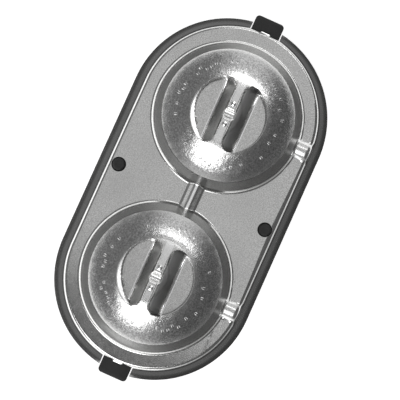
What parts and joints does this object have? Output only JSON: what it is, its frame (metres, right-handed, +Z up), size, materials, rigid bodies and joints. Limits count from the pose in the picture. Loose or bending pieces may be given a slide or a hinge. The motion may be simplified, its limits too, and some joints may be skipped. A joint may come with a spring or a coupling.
{
  "type": "reservoir cover with diaphragm gasket",
  "caption": "Stamped steel cover for a twin-chamber brake-fluid reservoir: ribbed domes, turned-down skirt, and a rubber diaphragm gasket with bellows and pull tabs.",
  "frame": {"origin": "centre of the bounding box at its lowest plane, where the feet of both bellows stand", "axes": "+X along the cover from the left dome to the right one, +Y across it to the side without vent beads, +Z up out of the domed side"},
  "size_m": [0.1564, 0.0818, 0.031],
  "materials": {
    "zinc_plated_steel": "satin bright zinc over fine rolled grain, shinier where the press drew the metal",
    "black_rubber": "matte moulded rubber"
  },
  "bodies": {
    "cover": {"cover_shell": "zinc_plated_steel"},
    "gasket": {"gasket_sheet": "black_rubber"},
    "tab_left": {"pull_tab_left": "black_rubber"},
    "tab_right": {"pull_tab_right": "black_rubber"},
    "fold_left_1": {"bellows_fold_left_1": "black_rubber"},
    "fold_left_2": {"bellows_fold_left_2": "black_rubber"},
    "fold_left_3": {"bellows_fold_left_3": "black_rubber"},
    "cup_left": {"bellows_cup_left": "black_rubber"},
    "fold_right_1": {"bellows_fold_right_1": "black_rubber"},
    "fold_right_2": {"bellows_fold_right_2": "black_rubber"},
    "fold_right_3": {"bellows_fold_right_3": "black_rubber"},
    "cup_right": {"bellows_cup_right": "black_rubber"}
  },
  "joints": [
    {"name": "cover_lift_off", "type": "slide", "parent": "gasket", "child": "cover", "axis": [0, 0, 1], "range_m": [0, 0.02]},
    {"name": "tab_flex_left", "type": "hinge", "parent": "gasket", "child": "tab_left", "pos_m": [-0.0725, 0, 0.0159], "axis": [0, 1, 0], "range_deg": [-45, 45], "stiffness_Nm_per_rad": 0.01},
    {"name": "tab_flex_right", "type": "hinge", "parent": "gasket", "child": "tab_right", "pos_m": [0.0725, 0, 0.0159], "axis": [0, -1, 0], "range_deg": [-45, 45], "stiffness_Nm_per_rad": 0.01},
    {"name": "bellows_extend_left", "type": "slide", "parent": "gasket", "child": "cup_left", "axis": [0, 0, -1], "range_m": [0, 0.018], "stiffness_N_per_m": 40, "springref_m": -0.004},
    {"name": "fold_travel_left_1", "type": "slide", "parent": "gasket", "child": "fold_left_1", "axis": [0, 0, -1], "range_m": [0, 0.0045]},
    {"name": "fold_travel_left_2", "type": "slide", "parent": "gasket", "child": "fold_left_2", "axis": [0, 0, -1], "range_m": [0, 0.009]},
    {"name": "fold_travel_left_3", "type": "slide", "parent": "gasket", "child": "fold_left_3", "axis": [0, 0, -1], "range_m": [0, 0.0135]},
    {"name": "bellows_extend_right", "type": "slide", "parent": "gasket", "child": "cup_right", "axis": [0, 0, -1], "range_m": [0, 0.018], "stiffness_N_per_m": 40, "springref_m": -0.004},
    {"name": "fold_travel_right_1", "type": "slide", "parent": "gasket", "child": "fold_right_1", "axis": [0, 0, -1], "range_m": [0, 0.0045]},
    {"name": "fold_travel_right_2", "type": "slide", "parent": "gasket", "child": "fold_right_2", "axis": [0, 0, -1], "range_m": [0, 0.009]},
    {"name": "fold_travel_right_3", "type": "slide", "parent": "gasket", "child": "fold_right_3", "axis": [0, 0, -1], "range_m": [0, 0.0135]}
  ],
  "couplings": [
    {"joint": "fold_travel_left_1", "follows": "bellows_extend_left", "ratio": 0.25},
    {"joint": "fold_travel_left_2", "follows": "bellows_extend_left", "ratio": 0.5},
    {"joint": "fold_travel_left_3", "follows": "bellows_extend_left", "ratio": 0.75},
    {"joint": "fold_travel_right_1", "follows": "bellows_extend_right", "ratio": 0.25},
    {"joint": "fold_travel_right_2", "follows": "bellows_extend_right", "ratio": 0.5},
    {"joint": "fold_travel_right_3", "follows": "bellows_extend_right", "ratio": 0.75}
  ]
}
